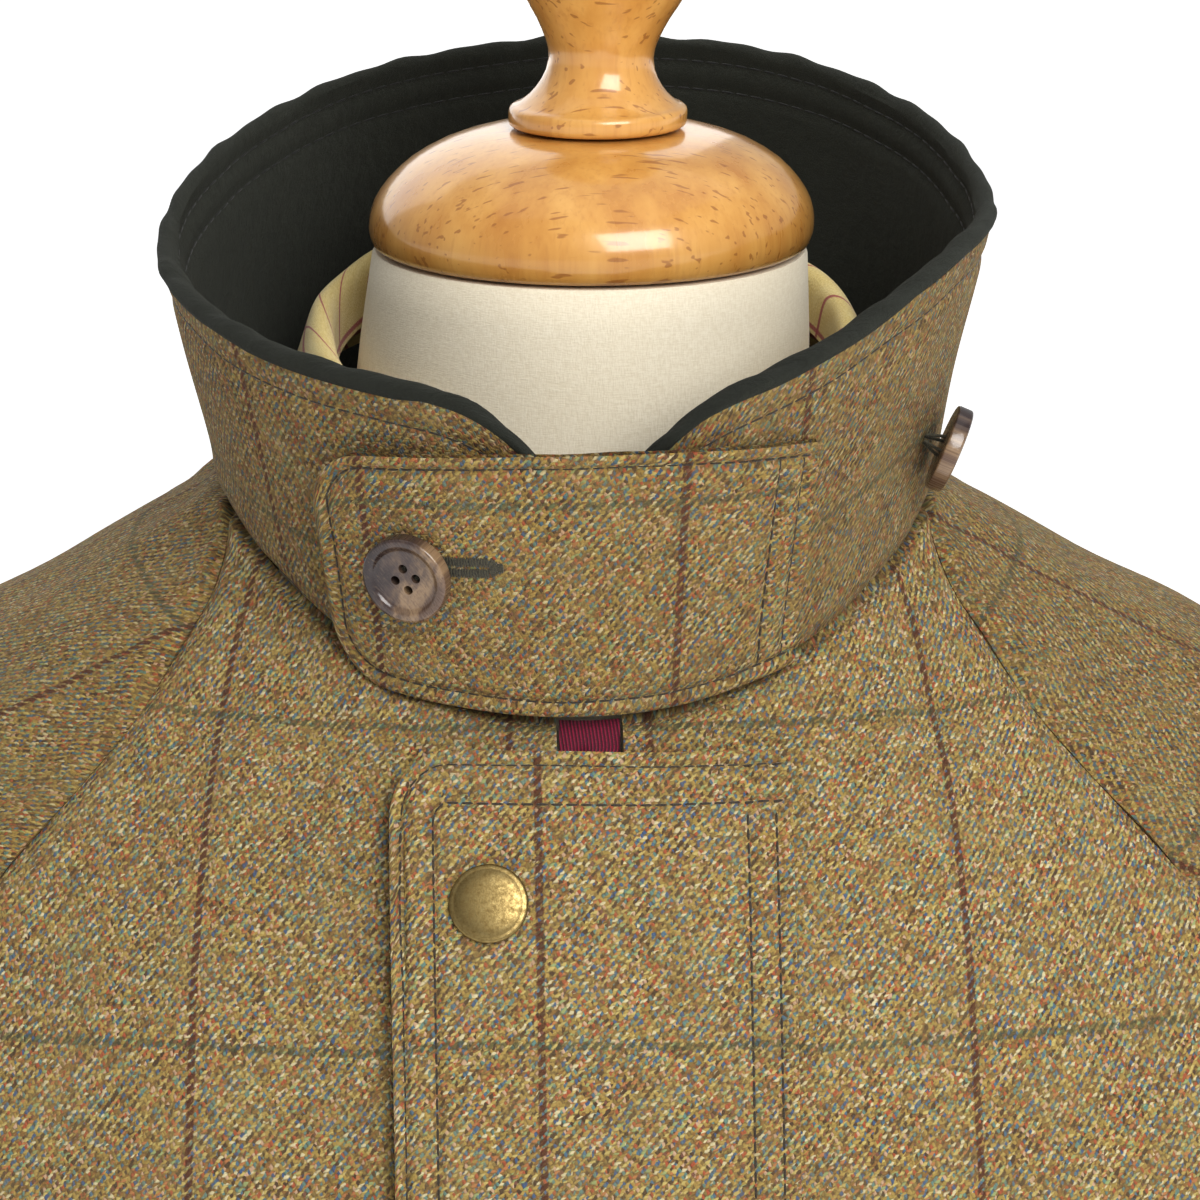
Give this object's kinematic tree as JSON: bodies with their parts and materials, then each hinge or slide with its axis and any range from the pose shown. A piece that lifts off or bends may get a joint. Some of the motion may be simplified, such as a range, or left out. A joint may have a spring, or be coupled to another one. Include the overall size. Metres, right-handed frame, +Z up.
{
  "type": "field coat on a limbless dress form",
  "caption": "Tweed field coat with a raised stand collar, throat tab, storm flap and raglan sleeves, worn by a limbless dress form on a round stand.",
  "frame": {"origin": "on the floor, under the middle of the stand's round base", "axes": "+Z up, the coat's front faces -Y, the wearer's left is +X"},
  "size_m": [0.72, 0.36, 1.4705],
  "materials": {
    "tweed": "brushed wool twill with coloured flecks and a windowpane check",
    "collar_wool": "matt felted wool",
    "check_cotton": "brushed cotton with a thin crimson check",
    "crimson_ribbon": "ribbed grosgrain",
    "horn": "polished, mottled",
    "antique_brass": "aged satin",
    "zip_tape": "woven tape",
    "calico": "plain cotton stretched over the form",
    "beech": "varnished, turned"
  },
  "bodies": {
    "root": {"front_left": "tweed", "front_right": "tweed", "back": "tweed", "sleeve_left": "tweed", "sleeve_right": "tweed", "collar_outer": "tweed", "throat_tab": "tweed", "storm_flap": "tweed", "collar_lining": "collar_wool", "neck_lining": "check_cotton", "ribbon": "crimson_ribbon", "tab_button": "horn", "spare_button": "horn", "zip_slider": "antique_brass", "stud_1": "antique_brass", "stud_2": "antique_brass", "stud_3": "antique_brass", "stud_4": "antique_brass", "stud_5": "antique_brass", "stud_6": "antique_brass", "zip_tape": "zip_tape", "form_body": "calico", "neck_cap": "beech", "finial": "beech", "pole": "beech", "base": "beech"}
  },
  "joints": []
}
